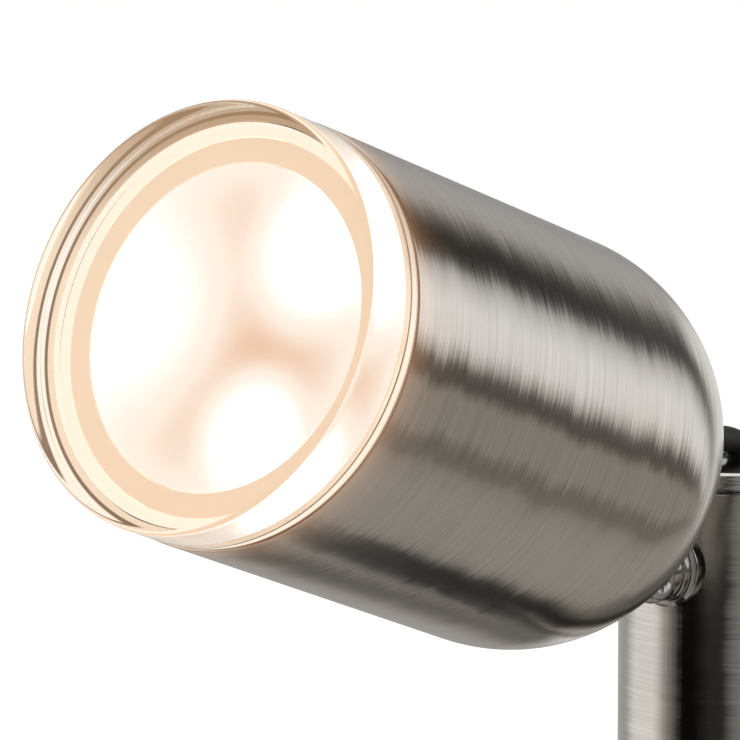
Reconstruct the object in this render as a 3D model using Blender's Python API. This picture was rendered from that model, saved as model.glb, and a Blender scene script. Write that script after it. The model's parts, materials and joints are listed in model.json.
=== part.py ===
"""Track spotlight: a tilting bullet-shaped head on a swivelling post with a track adapter.

Units are metres. The origin is the centre of the flat underside of the adapter's
insert, +Z runs up the post, and the head looks towards -Y.
"""
import math

import bmesh
import bpy
from mathutils import Matrix, Vector

MM = 0.001
COARSE = 16                     # sides of a small round piece, and of the larger ones
MEDIUM = 24
FINE = 36

# ---- driving dimensions, in millimetres -------------------------------------------
GAP = 0.3                       # clearance between pieces that touch

INSERT_HALF = (8.8, 46.0)       # half width and half length of the part inside the track
INSERT_WALL = 1.8
INSERT_HEIGHT = 20.0
PLATE_THICK = 2.0
FLANGE_HALF = (16.5, 50.0)
FLANGE_THICK = 2.4
COVER_HALF = (15.5, 20.0)
COVER_TOP = 36.0
COVER_WALL = 1.7
LEVER_Y = 31.0                  # both levers turn this far from the post's axis
SHAFT_R = 3.0
CAM_HALF = (11.0, 5.0)
BLADE_HALF = (11.0, 4.5)

POST_R = 15.0
POST_WALL = 1.2
POST_TOP = 120.0                # top face of the cap
CAP_RIM = 2.2
TUBE_BOTTOM = 36.8
NIPPLE_R = 4.9
PAN_STOP_R = 10.8

HEAD_R = 25.0
HEAD_WALL = 1.5
HEAD_TILT = math.radians(19.5)  # the head looks up by this much at rest
DOME_OUT = 46.3                 # dome centre: distance from the post's axis
DOME_UP = 7.7                   # dome centre: height above the post's top
RIM_S = 52.8                    # housing rim, measured along the head from the dome centre
LENS_BACK_S = 51.5
LENS_FRONT_S = 60.7

PIVOT_OUT = 22.8                # tilt pivot: distance from the post's axis
PIVOT_DOWN = 11.8               # tilt pivot: depth below the post's top
EAR_R = 3.2
PIN_R = 1.4

LEAD_R = 1.6
LED_PITCH_R = 14.0
LED_TURN = math.radians(173.0)  # direction of the first light-emitting chip

PIVOT = Vector((0.0, -PIVOT_OUT, POST_TOP - PIVOT_DOWN))
DOME = Vector((0.0, -DOME_OUT, POST_TOP + DOME_UP))


# ---- modelling helpers --------------------------------------------------------------
def clear_scene():
    for obj in list(bpy.data.objects):
        bpy.data.objects.remove(obj, do_unlink=True)


def make_material(name, colour, roughness, metallic):
    mat = bpy.data.materials.new(name)
    mat.use_nodes = True
    shader = mat.node_tree.nodes["Principled BSDF"]
    shader.inputs["Base Color"].default_value = (*colour, 1.0)
    shader.inputs["Roughness"].default_value = roughness
    shader.inputs["Metallic"].default_value = metallic
    mat.diffuse_color = (*colour, 1.0)
    return mat


def make_pivot(name, position, parent=None):
    """Empty on a joint's axis; the moving pieces are its children."""
    empty = bpy.data.objects.new(name, None)
    empty.empty_display_size = 10 * MM
    bpy.context.collection.objects.link(empty)
    base = Vector(parent["at"]) if parent else Vector((0.0, 0.0, 0.0))
    empty.parent = parent
    empty.location = (Vector(position) - base) * MM
    empty["at"] = tuple(position)
    return empty


def add_piece(name, bm, finish, pivot=None, at=(0.0, 0.0, 0.0), turn_x=0.0, turn_z=0.0):
    """Turns a bmesh (millimetres, own axes) into a named object placed in the model."""
    bmesh.ops.recalc_face_normals(bm, faces=bm.faces)
    bmesh.ops.scale(bm, vec=(MM, MM, MM), verts=bm.verts)
    mesh = bpy.data.meshes.new(name)
    bm.to_mesh(mesh)
    bm.free()
    mesh.shade_smooth()
    mesh.set_sharp_from_angle(angle=math.radians(35))
    obj = bpy.data.objects.new(name, mesh)
    bpy.context.collection.objects.link(obj)
    if finish is not None:
        mesh.materials.append(make_material(name + "_finish", *finish))
    base = Vector(pivot["at"]) if pivot else Vector((0.0, 0.0, 0.0))
    obj.parent = pivot
    obj.location = (Vector(at) - base) * MM
    obj.rotation_euler = (turn_x, 0.0, turn_z)
    return obj


def add_cutter(name, bm, **place):
    cutter = add_piece(name, bm, None, **place)
    cutter.hide_render = True
    cutter.display_type = "WIRE"
    return cutter


def combine(obj, tool, operation="DIFFERENCE"):
    mod = obj.modifiers.new(operation.lower(), "BOOLEAN")
    mod.object = tool
    mod.operation = operation
    mod.solver = "EXACT"


def round_edges(obj, width, segments=2):
    mod = obj.modifiers.new("rounding", "BEVEL")
    mod.width = width * MM
    mod.segments = segments
    mod.limit_method = "ANGLE"
    mod.angle_limit = math.radians(50)


def turned(profile, segments=MEDIUM):
    """Solid of revolution about Z from a closed outline of (radius, z) points."""
    bm = bmesh.new()
    rings = []
    for radius, z in profile:
        if radius < 1e-6:
            rings.append([bm.verts.new((0.0, 0.0, z))])
            continue
        ring = []
        for k in range(segments):
            a = 2 * math.pi * k / segments
            ring.append(bm.verts.new((radius * math.cos(a), radius * math.sin(a), z)))
        rings.append(ring)
    for here, there in zip(rings, rings[1:] + rings[:1]):
        if len(here) == 1 and len(there) == 1:
            continue
        for k in range(segments):
            n = (k + 1) % segments
            corners = [here[k % len(here)], here[n % len(here)],
                       there[n % len(there)], there[k % len(there)]]
            unique = list(dict.fromkeys(corners))
            bm.faces.new(unique)
    return bm


def arc(centre_r, centre_z, radius, start, stop, steps):
    """Points on an arc of a turned outline; angles in degrees from +radius towards +Z."""
    points = []
    for k in range(steps + 1):
        a = math.radians(start + (stop - start) * k / steps)
        points.append((centre_r + radius * math.cos(a), centre_z + radius * math.sin(a)))
    return points


def ring(inner, outer, z0, z1, segments=MEDIUM):
    return turned([(inner, z0), (outer, z0), (outer, z1), (inner, z1)], segments)


def rod(radius, z0, z1, segments=MEDIUM):
    return turned([(0.0, z0), (radius, z0), (radius, z1), (0.0, z1)], segments)


def block(x0, x1, y0, y1, z0, z1):
    bm = bmesh.new()
    bmesh.ops.create_cube(bm, size=1.0)
    bmesh.ops.scale(bm, vec=(x1 - x0, y1 - y0, z1 - z0), verts=bm.verts)
    centre = Vector((x0 + x1, y0 + y1, z0 + z1)) / 2
    bmesh.ops.translate(bm, vec=centre, verts=bm.verts)
    return bm


def rounded_block(half_x, half_y, z0, z1, radius):
    """Upright block centred on the post's axis, with its four vertical edges rounded."""
    outline = []
    for corner, (sx, sy) in enumerate(((1, 1), (-1, 1), (-1, -1), (1, -1))):
        for k in range(4):
            a = math.pi / 2 * (corner + k / 3)
            outline.append((sx * (half_x - radius) + radius * math.cos(a),
                            sy * (half_y - radius) + radius * math.sin(a)))
    return prism(outline, z0, z1)


def prism(outline, z0, z1):
    """Flat outline of (x, y) points, extruded from z0 to z1."""
    bm = bmesh.new()
    face = bm.faces.new([bm.verts.new((x, y, z0)) for x, y in outline])
    side = bmesh.ops.extrude_face_region(bm, geom=[face])["geom"]
    top = [v for v in side if isinstance(v, bmesh.types.BMVert)]
    bmesh.ops.translate(bm, vec=(0.0, 0.0, z1 - z0), verts=top)
    return bm


def hexagon_nut(bore, across_flats, z0, z1):
    """Hexagonal nut: two rings of six corners and a round bore of the same count."""
    corner_r = across_flats / math.sqrt(3)
    steps = 12
    bm = bmesh.new()
    rings = []
    for z in (z0, z1):
        for radius in (bore, corner_r):
            loop = []
            for k in range(steps):
                a = 2 * math.pi * k / steps
                r = radius
                if radius == corner_r:
                    off = (a + math.pi / 6) % (math.pi / 3) - math.pi / 6
                    r = across_flats / 2 / math.cos(off)
                loop.append(bm.verts.new((r * math.cos(a), r * math.sin(a), z)))
            rings.append(loop)
    order = [rings[0], rings[1], rings[3], rings[2]]
    for here, there in zip(order, order[1:] + order[:1]):
        for k in range(steps):
            n = (k + 1) % steps
            bm.faces.new((here[k], here[n], there[n], there[k]))
    return bm


def moved(bm, matrix):
    bmesh.ops.transform(bm, matrix=matrix, verts=bm.verts)
    return bm


def along_x(bm, x=0.0, y=0.0, z=0.0):
    """Lays a piece made about Z along +X, with its own origin at the given point."""
    return moved(bm, Matrix.Translation((x, y, z)) @ Matrix.Rotation(math.pi / 2, 4, "Y"))


def along_out(bm, z=0.0):
    """Lays a piece made about Z along -Y, away from the post."""
    return moved(bm, Matrix.Translation((0.0, 0.0, z)) @ Matrix.Rotation(math.pi / 2, 4, "X"))


def smooth_route(points, step):
    """Even points on a Catmull-Rom curve through the route's own points."""
    pts = [Vector(p) for p in points]
    pts = [2 * pts[0] - pts[1]] + pts + [2 * pts[-1] - pts[-2]]
    out = []
    for a, b, c, d in zip(pts, pts[1:], pts[2:], pts[3:]):
        count = max(2, round((c - b).length / step))
        for k in range(count):
            t = k / count
            out.append(0.5 * ((2 * b) + (c - a) * t + (2 * a - 5 * b + 4 * c - d) * t * t
                              + (3 * b - a - 3 * c + d) * t ** 3))
    out.append(pts[-2])
    return out


# ---- finishes: colour, roughness, metallic ------------------------------------------
NICKEL = ((0.62, 0.60, 0.57), 0.28, 1.0)
POLISHED = ((0.78, 0.77, 0.75), 0.06, 1.0)
STEEL = ((0.55, 0.55, 0.55), 0.35, 1.0)
BRASS = ((0.80, 0.62, 0.30), 0.30, 1.0)
CAST = ((0.70, 0.70, 0.71), 0.55, 1.0)
BLACK_PLASTIC = ((0.03, 0.03, 0.03), 0.45, 0.0)
WHITE_PLASTIC = ((0.85, 0.82, 0.76), 0.40, 0.0)
BEIGE = ((0.84, 0.66, 0.50), 0.45, 0.0)
RUBBER = ((0.02, 0.02, 0.02), 0.70, 0.0)
SEAL = ((0.16, 0.11, 0.08), 0.60, 0.0)
CLEAR = ((0.95, 0.95, 0.95), 0.02, 0.0)
GLOW = ((1.00, 0.86, 0.70), 0.60, 0.0)
BOARD = ((0.05, 0.22, 0.10), 0.50, 0.0)
GREY_PAD = ((0.45, 0.47, 0.50), 0.80, 0.0)
FISH_PAPER = ((0.75, 0.72, 0.62), 0.70, 0.0)
COPPER = ((0.72, 0.40, 0.25), 0.35, 1.0)


# ---- track adapter: fixed body --------------------------------------------------------
def make_adapter():
    hx, hy = INSERT_HALF
    fx, fy = FLANGE_HALF
    bottom = PLATE_THICK + GAP
    flange = rounded_block(fx, fy, INSERT_HEIGHT, INSERT_HEIGHT + FLANGE_THICK, 4.0)
    base = add_piece("adapter_base", flange, BLACK_PLASTIC)
    body = add_cutter("insert_body", rounded_block(hx, hy, bottom, INSERT_HEIGHT + 1, 2.0))
    combine(base, body, "UNION")
    ix = hx - INSERT_WALL
    iy = hy - INSERT_WALL
    hollow = add_cutter("insert_hollow", block(-ix, ix, -iy, iy, bottom - 1, INSERT_HEIGHT))
    combine(base, hollow)
    top = INSERT_HEIGHT + FLANGE_THICK + 1
    combine(base, add_cutter("wire_way", block(-5, 5, -10, 10, INSERT_HEIGHT - 1, top)))
    for side in (-1, 1):
        hole = rod(SHAFT_R + GAP, INSERT_HEIGHT - 1, top)
        combine(base, add_cutter(f"shaft_hole_{side}", hole, at=(0.0, side * LEVER_Y, 0.0)))
    reach = hx + 1
    slots = {
        "cam_slot": (-LEVER_Y - 10.5, -LEVER_Y + 10.5, 9.0, 13.0),
        "low_blade_slot": (LEVER_Y - 10.0, LEVER_Y + 10.0, 5.0, 7.2),
        "high_blade_slot": (LEVER_Y - 10.0, LEVER_Y + 10.0, 11.8, 14.0),
        "earth_slot": (-4.3, 4.3, 16.0, 17.4),
    }
    for name, (y0, y1, z0, z1) in slots.items():
        x0 = 0.0 if name == "earth_slot" else -reach
        combine(base, add_cutter(name, block(x0, reach, y0, y1, z0, z1)))

    plate = add_piece("insert_plate", rounded_block(hx, hy, 0.0, PLATE_THICK, 2.0),
                      BLACK_PLASTIC)
    for number, y in enumerate((-15.0, 15.0), start=1):
        hole = rod(1.7, -1, PLATE_THICK + 1, COARSE)
        combine(plate, add_cutter(f"plate_hole_{number}", hole, at=(0.0, y, 0.0)))
        screw = turned([(0.0, 0.4), (1.35, 0.4), (1.35, 9.0), (0.9, 10.0), (0.0, 10.0)], COARSE)
        add_piece(f"plate_screw_{number}", screw, STEEL, at=(0.0, y, 0.0))

    leaf = [(5.0, 17.0), (5.0, 16.4), (9.3, 16.4), (10.6, 12.5), (10.6, 10.5), (9.3, 6.5),
            (9.9, 6.3), (11.3, 10.3), (11.3, 12.7), (9.8, 17.0)]
    earth = moved(prism(leaf, -4.0, 4.0), Matrix.Rotation(math.pi / 2, 4, "X"))
    add_piece("earth_contact", earth, BRASS)

    cx, cy = COVER_HALF
    floor = INSERT_HEIGHT + FLANGE_THICK + GAP
    shell = rounded_block(cx, cy, floor, COVER_TOP, 4.0)
    cover = add_piece("adapter_cover", shell, BLACK_PLASTIC)
    wx = cx - COVER_WALL
    wy = cy - COVER_WALL
    inside = block(-wx, wx, -wy, wy, floor - 1, COVER_TOP - COVER_WALL)
    combine(cover, add_cutter("cover_hollow", inside))
    combine(cover, add_cutter("nipple_hole", rod(NIPPLE_R + GAP, COVER_TOP - 4, COVER_TOP + 1)))

    block_body = add_piece("terminal_block", block(-12, 12, 9, 16, floor + 0.5, 31.0),
                           WHITE_PLASTIC)
    for number, x in enumerate((-7.5, 0.0, 7.5), start=1):
        well = rod(1.6, 26.0, 32.0, COARSE)
        combine(block_body, add_cutter(f"terminal_well_{number}", well, at=(x, 12.5, 0.0)))

    under = COVER_TOP - COVER_WALL - GAP
    nipple = [(3.4, under - 3), (7.0, under - 3), (7.0, under), (NIPPLE_R, under),
              (NIPPLE_R, 52.0), (3.4, 52.0)]
    add_piece("swivel_nipple", turned(nipple, MEDIUM), STEEL)
    add_piece("stop_washer", ring(NIPPLE_R + GAP, 12.0, COVER_TOP + GAP, 37.4), STEEL)
    washer = bpy.data.objects["stop_washer"]
    tab = block(-1.5, 1.5, PAN_STOP_R - 0.9, PAN_STOP_R + 0.9, 37.0, 39.4)
    combine(washer, add_cutter("stop_tab", tab), "UNION")
    add_piece("spring_washer", ring(NIPPLE_R + GAP, 8.8, 44.6, 45.4), STEEL)
    add_piece("pan_nut", hexagon_nut(NIPPLE_R + 0.2, 17.0, 45.7, 51.2), STEEL)


# ---- the two quarter-turn levers -------------------------------------------------------
def lever_shape(shaft_end):
    """Hub and shaft of one lever; the grip is joined on afterwards."""
    top = INSERT_HEIGHT + FLANGE_THICK + GAP
    return turned([(0.0, shaft_end), (SHAFT_R, shaft_end), (SHAFT_R, top), (6.5, top),
                   (6.5, top + 2.8), (5.8, top + 3.5), (0.0, top + 3.5)], MEDIUM)


def make_levers():
    top = INSERT_HEIGHT + FLANGE_THICK + GAP
    rotors = (("lock_lever", "lock_axis", -LEVER_Y, 0.0, 7.5),
              ("selector_lever", "selector_axis", LEVER_Y, math.pi, 3.6))
    for name, axis_name, y, turn, shaft_end in rotors:
        axis = make_pivot(axis_name, (0.0, y, top))
        lever = add_piece(name, lever_shape(shaft_end), BLACK_PLASTIC, axis, at=(0.0, y, 0.0))
        grip = block(-2.6, 2.6, -16.0, -4.0, top, top + 3.5)
        tool = add_cutter(name + "_grip", grip, pivot=axis, at=(0.0, y, 0.0), turn_z=turn)
        combine(lever, tool, "UNION")

    lock = bpy.data.objects["lock_axis"]
    at = (0.0, -LEVER_Y, 0.0)
    cx, cy = CAM_HALF
    cam = add_piece("lock_cam", block(-cx, cx, -cy, cy, 9.5, 12.5), STEEL, lock, at=at)
    bore = rod(SHAFT_R + 0.2, 8.0, 14.0)
    combine(cam, add_cutter("cam_bore", bore, pivot=lock, at=at))
    add_piece("lock_clip", ring(SHAFT_R + 0.2, 5.0, 8.2, 9.1), STEEL, lock, at=at)

    selector = bpy.data.objects["selector_axis"]
    at = (0.0, LEVER_Y, 0.0)
    add_piece("contact_carrier", ring(SHAFT_R + 0.2, 5.2, 7.1, 11.9), WHITE_PLASTIC,
              selector, at=at)
    bx, by = BLADE_HALF
    for number, z in enumerate((5.5, 12.3), start=1):
        blade = add_piece(f"contact_blade_{number}", block(-bx, bx, -by, by, z, z + 1.2), BRASS,
                          selector, at=at)
        bore = rod(SHAFT_R + 0.2, z - 1, z + 2.2, COARSE)
        tool = add_cutter(f"blade_bore_{number}", bore, pivot=selector, at=at)
        combine(blade, tool)
        round_edges(blade, 0.4, 1)


# ---- post: swivels on the adapter --------------------------------------------------------
def make_post(pan):
    neck_z = POST_TOP - PIVOT_DOWN
    inner = POST_R - POST_WALL
    tube = add_piece("post_tube", ring(inner, POST_R, TUBE_BOTTOM, POST_TOP - CAP_RIM - GAP, FINE),
                     NICKEL, pan)
    neck_hole = along_out(rod(3.4, 10.0, 17.0), neck_z)
    combine(tube, add_cutter("neck_hole", neck_hole, pivot=pan))

    foot = [(NIPPLE_R + GAP, 37.9), (9.4, 37.9), (9.4, 40.0), (12.6, 40.0), (12.6, 37.9),
            (inner - GAP, 37.9), (inner - GAP, 44.3), (NIPPLE_R + GAP, 44.3)]
    foot_piece = add_piece("post_foot", turned(foot, FINE), CAST, pan)
    pin_hole = rod(1.2, 39.0, 43.6, COARSE)
    combine(foot_piece, add_cutter("pin_hole", pin_hole, pivot=pan, at=(0.0, -PAN_STOP_R, 0.0)))
    add_piece("stop_pin", rod(0.9, 38.0, 43.4, COARSE), STEEL, pan, at=(0.0, -PAN_STOP_R, 0.0))
    for number, side in enumerate((-1, 1), start=1):
        wall_hole = along_x(rod(1.8, -4.0, 4.0, COARSE), side * (inner - 0.5), 0.0, 42.2)
        tool = add_cutter(f"foot_hole_{number}", wall_hole, pivot=pan)
        combine(tube, tool)
        combine(foot_piece, tool)
        screw = turned([(0.0, -2.5), (1.5, -2.5), (1.5, 1.4), (0.0, 1.4)], COARSE)
        if side < 0:
            screw = moved(screw, Matrix.Rotation(math.pi, 4, "X"))
        add_piece(f"foot_screw_{number}", along_x(screw, side * (inner - 0.4), 0.0, 42.2), STEEL,
                  pan)

    top = POST_TOP
    cap = [(2.9, top - 6.0), (inner - GAP, top - 6.0), (inner - GAP, top - CAP_RIM),
           (14.8, top - CAP_RIM), (POST_R, top - 2.0), (POST_R, top - 1.5), (14.7, top - 1.3),
           (14.7, top - 1.1), (POST_R, top - 0.9), (POST_R, top - 0.4), (14.6, top),
           (2.9, top)]
    add_piece("post_cap", turned(cap, FINE), POLISHED, pan)
    bush = [(LEAD_R + GAP, top - 5.5), (2.6, top - 5.5), (2.6, top - 0.3),
            (LEAD_R + GAP, top - 0.3)]
    add_piece("cap_grommet", turned(bush, COARSE), RUBBER, pan)

    make_neck(pan, neck_z)
    make_driver(pan)


def make_neck(pan, neck_z):
    """Round collar on the post that ends in a fork for the head's knuckle."""
    base_out = PIVOT_OUT - EAR_R - GAP
    profile = [(0.0, 7.5), (2.9, 7.5), (2.9, 13.4), (5.0, 13.4), (5.0, 15.8), (4.6, 16.2),
               (4.3, 16.4), (4.3, 17.0), (3.9, 17.4), (3.9, base_out), (0.0, base_out)]
    neck = add_piece("neck", along_out(turned(profile, MEDIUM), neck_z), POLISHED, pan)
    shell = ring(POST_R - POST_WALL - 1.2, POST_R + 0.15, -20.0, 16.0, FINE)
    saddle = add_cutter("neck_saddle", shell, pivot=pan, at=(0.0, 0.0, neck_z))
    core = add_cutter("neck_core", along_out(rod(2.9, 7.5, 15.4), neck_z), pivot=pan)
    combine(neck, saddle)
    combine(neck, core, "UNION")
    for side in (-1, 1):
        outline = [(-base_out + 0.6, -EAR_R), (-PIVOT_OUT, -EAR_R)]
        for k in range(1, 12):
            a = -math.pi / 2 - math.pi * k / 12
            outline.append((-PIVOT_OUT + EAR_R * math.cos(a), EAR_R * math.sin(a)))
        outline += [(-PIVOT_OUT, EAR_R), (-base_out + 0.6, EAR_R)]
        cheek = prism(outline, min(side * 2.1, side * 3.7), max(side * 2.1, side * 3.7))
        # prism is made with outline x as Y and outline y as Z, thickness along X
        stand = Matrix(((0, 0, 1, 0), (1, 0, 0, 0), (0, 1, 0, neck_z), (0, 0, 0, 1)))
        tool = add_cutter(f"fork_cheek_{side}", moved(cheek, stand), pivot=pan)
        combine(neck, tool, "UNION")
    bore = along_x(rod(PIN_R + 0.15, -6.0, 6.0, COARSE), 0.0, -PIVOT_OUT, neck_z)
    combine(neck, add_cutter("fork_bore", bore, pivot=pan))

    add_piece("neck_washer", along_out(ring(3.2, 5.0, 11.4, 12.3), neck_z), STEEL, pan)
    add_piece("neck_nut", along_out(hexagon_nut(3.1, 8.0, 8.4, 11.1), neck_z), STEEL, pan)

    screw = [(0.0, -5.6), (PIN_R, -5.6), (PIN_R, 4.0), (2.7, 4.0), (2.7, 4.9), (2.2, 5.4),
             (0.0, 5.4)]
    add_piece("pivot_screw", along_x(turned(screw, COARSE), 0.0, -PIVOT_OUT, neck_z), STEEL, pan)
    add_piece("pivot_nut", along_x(hexagon_nut(PIN_R + 0.15, 5.0, -5.5, -4.0), 0.0, -PIVOT_OUT,
                                   neck_z), STEEL, pan)
    for number, x in enumerate((-1.85, 1.45), start=1):
        disc = along_x(ring(PIN_R + 0.15, 3.0, x, x + 0.4, COARSE), 0.0, -PIVOT_OUT, neck_z)
        add_piece(f"friction_washer_{number}", disc, BRASS, pan)


def make_driver(pan):
    """Electronic driver in its insulating sleeve inside the post."""
    add_piece("driver_sleeve", ring(12.7, 13.2, 54.0, 101.0), FISH_PAPER, pan)
    add_piece("driver_board", block(-11.0, 11.0, 4.0, 5.6, 56.0, 99.0), BOARD, pan)
    coil = [(0.0, -6.0), (5.5, -6.0), (5.5, -5.0), (4.2, -4.6), (4.2, 2.0), (5.5, 2.4),
            (5.5, 3.6), (0.0, 3.6)]
    coil_body = moved(turned(coil, COARSE), Matrix.Translation((4.0, 0.0, 66.0))
                      @ Matrix.Rotation(-math.pi / 2, 4, "X"))
    add_piece("driver_coil", coil_body, COPPER, pan)
    can = [(0.0, 76.0), (3.6, 76.0), (4.0, 76.4), (4.0, 90.6), (3.6, 91.0), (0.0, 91.0)]
    add_piece("driver_capacitor", turned(can, COARSE), BLACK_PLASTIC, pan, at=(-5.0, -0.5, 0.0))


# ---- lamp head: tilts on the fork ---------------------------------------------------------
def make_head(tilt):
    aim = {"pivot": tilt, "at": DOME, "turn_x": math.pi / 2 - HEAD_TILT}
    inner = HEAD_R - HEAD_WALL
    outline = [(0.0, -HEAD_R)] + arc(0.0, 0.0, HEAD_R, -78, 0, 7)
    outline += [(HEAD_R, RIM_S - 0.4), (HEAD_R - 0.4, RIM_S), (inner, RIM_S)]
    outline += arc(0.0, 0.0, inner, 0, -72, 4) + [(0.0, -inner)]
    housing = add_piece("head_housing", turned(outline, FINE), NICKEL, **aim)

    rise = math.atan2(DOME.z - PIVOT.z, PIVOT.y - DOME.y)
    reach = (DOME - PIVOT).length
    arm = {"pivot": tilt, "at": PIVOT, "turn_x": math.pi / 2 - rise}
    wall = reach - HEAD_R
    combine(housing, add_cutter("stud_hole", rod(2.3, wall - 2, wall + 4, COARSE), **arm))
    back = {"pivot": tilt, "at": DOME, "turn_x": -math.pi / 2}
    combine(housing, add_cutter("lead_hole", rod(3.1, 20.0, 28.0, COARSE), **back))

    make_knuckle(arm, reach)
    bush = [(LEAD_R + GAP, 21.5), (2.8, 21.5), (2.8, 25.3), (4.2, 25.3), (4.0, 26.0),
            (3.0, 26.8), (LEAD_R + GAP, 26.8)]
    add_piece("head_grommet", turned(bush, COARSE), RUBBER, **back)

    step_r = inner - 0.5
    lens = [(0.0, LENS_BACK_S), (step_r, LENS_BACK_S), (step_r, RIM_S + 0.8),
            (HEAD_R - 0.1, RIM_S + 0.8), (HEAD_R - 0.1, LENS_FRONT_S - 0.4),
            (HEAD_R - 0.5, LENS_FRONT_S), (0.0, LENS_FRONT_S)]
    add_piece("lens", turned(lens, FINE), CLEAR, **aim)
    add_piece("lens_seal", ring(inner - 0.2, HEAD_R - 0.3, RIM_S + 0.1, RIM_S + 0.6, FINE), SEAL,
              **aim)
    ring_s = LENS_BACK_S - GAP
    add_piece("lens_bezel", ring(21.8, inner - GAP, ring_s - 2.0, ring_s, FINE), WHITE_PLASTIC,
              **aim)
    add_piece("diffuser_ring", ring(18.9, 21.5, ring_s - 2.0, ring_s, FINE), BEIGE, **aim)
    add_piece("diffuser", rod(18.6, ring_s - 2.0, ring_s, FINE), GLOW, **aim)

    make_light_engine(aim, inner)


def make_knuckle(arm, reach):
    """Tongue with an eye, seat and stud, made along the line from pivot to dome centre."""
    seat_low = 3.9
    seat_r = 4.2
    stud_r = 2.0
    stud_end = reach - HEAD_R + 6.0
    stem = [(0.0, seat_low), (seat_r, seat_low)]
    for k in range(4):
        r = seat_r + (stud_r - seat_r) * k / 3
        stem.append((r, reach - math.sqrt((HEAD_R + 0.2) ** 2 - r ** 2)))
    stem += [(stud_r, stud_end), (0.0, stud_end)]
    knuckle = add_piece("head_knuckle", turned(stem), POLISHED, **arm)
    tongue = [(-EAR_R, 4.3)]
    for k in range(13):
        a = math.pi + math.pi * k / 12
        tongue.append((EAR_R * math.cos(a), EAR_R * math.sin(a)))
    tongue.append((EAR_R, 4.3))
    flat = prism(tongue, -1.2, 1.2)
    stand = Matrix(((0, 0, 1, 0), (1, 0, 0, 0), (0, 1, 0, 0), (0, 0, 0, 1)))
    combine(knuckle, add_cutter("knuckle_tongue", moved(flat, stand), **arm), "UNION")
    eye = along_x(rod(PIN_R + 0.15, -3.0, 3.0, COARSE))
    combine(knuckle, add_cutter("knuckle_eye", eye, **arm))
    nut_low = reach - HEAD_R + 2.4
    add_piece("knuckle_nut", hexagon_nut(2.2, 7.0, nut_low, nut_low + 2.6), STEEL, **arm)


def make_light_engine(aim, inner):
    outer = inner - 0.7
    fin_count = 14
    outline = []
    for k in range(fin_count):
        mid = 2 * math.pi * k / fin_count
        for radius, half in ((8.0, 0.9), (outer, 0.7)):
            outline.append((radius, mid - half / radius))
        for radius, half in ((outer, 0.7), (8.0, 0.9)):
            outline.append((radius, mid + half / radius))
    fins = prism([(r * math.cos(a), r * math.sin(a)) for r, a in outline], 8.0, 29.5)
    sink = add_piece("heat_sink", fins, CAST, **aim)
    combine(sink, add_cutter("sink_base", rod(outer, 28.8, 32.4, FINE), **aim), "UNION")
    combine(sink, add_cutter("sink_bore", rod(3.2, 7.0, 34.0, COARSE), **aim))
    add_piece("thermal_pad", ring(3.4, 19.5, 32.6, 33.0), GREY_PAD, **aim)
    board = add_piece("led_board", ring(3.4, 20.0, 33.3, 34.7), WHITE_PLASTIC, **aim)

    for number in range(3):
        a = LED_TURN - number * 2 * math.pi / 3
        x = LED_PITCH_R * math.cos(a)
        y = LED_PITCH_R * math.sin(a)
        chip = turned([(0.0, 35.0), (2.6, 35.0), (2.6, 35.9)] + arc(0.0, 35.9, 1.9, 0, 60, 3)
                      + [(0.0, 37.8)], COARSE)
        add_piece(f"led_{number + 1}", moved(chip, Matrix.Translation((x, y, 0.0))), GLOW, **aim)

    cup_top = LENS_BACK_S - GAP - 2.0 - 0.4
    cups = add_piece("reflector", rod(outer, 36.2, cup_top, FINE), WHITE_PLASTIC, **aim)
    for number in range(3):
        a = LED_TURN - number * 2 * math.pi / 3
        spot = Matrix.Translation((LED_PITCH_R * math.cos(a), LED_PITCH_R * math.sin(a), 0.0))
        cone = turned([(0.0, 35.0), (3.4, 35.0), (7.8, cup_top + 1), (0.0, cup_top + 1)], COARSE)
        combine(cups, add_cutter(f"cup_{number + 1}", moved(cone, spot), **aim))

    for number in range(2):
        a = LED_TURN + math.pi / 3 + number * 2 * math.pi / 3
        spot = Matrix.Translation((16.0 * math.cos(a), 16.0 * math.sin(a), 0.0))
        hole = moved(rod(1.7, 30.0, 36.0, COARSE), spot)
        tool = add_cutter(f"board_hole_{number + 1}", hole, **aim)
        combine(board, tool)
        combine(bpy.data.objects["thermal_pad"], tool)
        combine(sink, tool)
        screw = turned([(0.0, 30.4), (1.4, 30.4), (1.4, 34.95), (2.6, 34.95), (2.4, 35.9),
                        (0.0, 35.9)], COARSE)
        add_piece(f"board_screw_{number + 1}", moved(screw, spot), STEEL, **aim)


# ---- lead from the post's driver to the head ------------------------------------------------
def make_lead(pan):
    """Flexible lead: out of the cap, over the gap and through the dome to the lights."""
    route = [(0.0, -14.0), (0.0, -7.0), (0.0, -3.0), (0.0, -0.5), (0.6, 1.3), (2.5, 2.25),
             (5.8, 3.0), (10.5, 5.1)]
    route += [(DOME_OUT - back, DOME_UP) for back in (29.5, 26.5, 20.0)]
    route.append((DOME_OUT - 10.0, DOME_UP - 0.7))
    for s in (4.0, 12.0, 30.0):
        route.append((DOME_OUT + s * math.cos(HEAD_TILT), DOME_UP + s * math.sin(HEAD_TILT)))
    points = smooth_route([(0.0, -out, POST_TOP + up) for out, up in route], 4.5 * LEAD_R)
    curve = bpy.data.curves.new("lead", "CURVE")
    curve.dimensions = "3D"
    curve.bevel_depth = LEAD_R * MM
    curve.bevel_resolution = 2
    curve.use_fill_caps = True
    spline = curve.splines.new("POLY")
    spline.points.add(len(points) - 1)
    base = Vector(pan["at"])
    for knot, point in zip(spline.points, points):
        knot.co = (*((point - base) * MM), 1.0)
    curve.materials.append(make_material("lead_finish", *RUBBER))
    lead = bpy.data.objects.new("lead", curve)
    bpy.context.collection.objects.link(lead)
    lead.parent = pan


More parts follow.
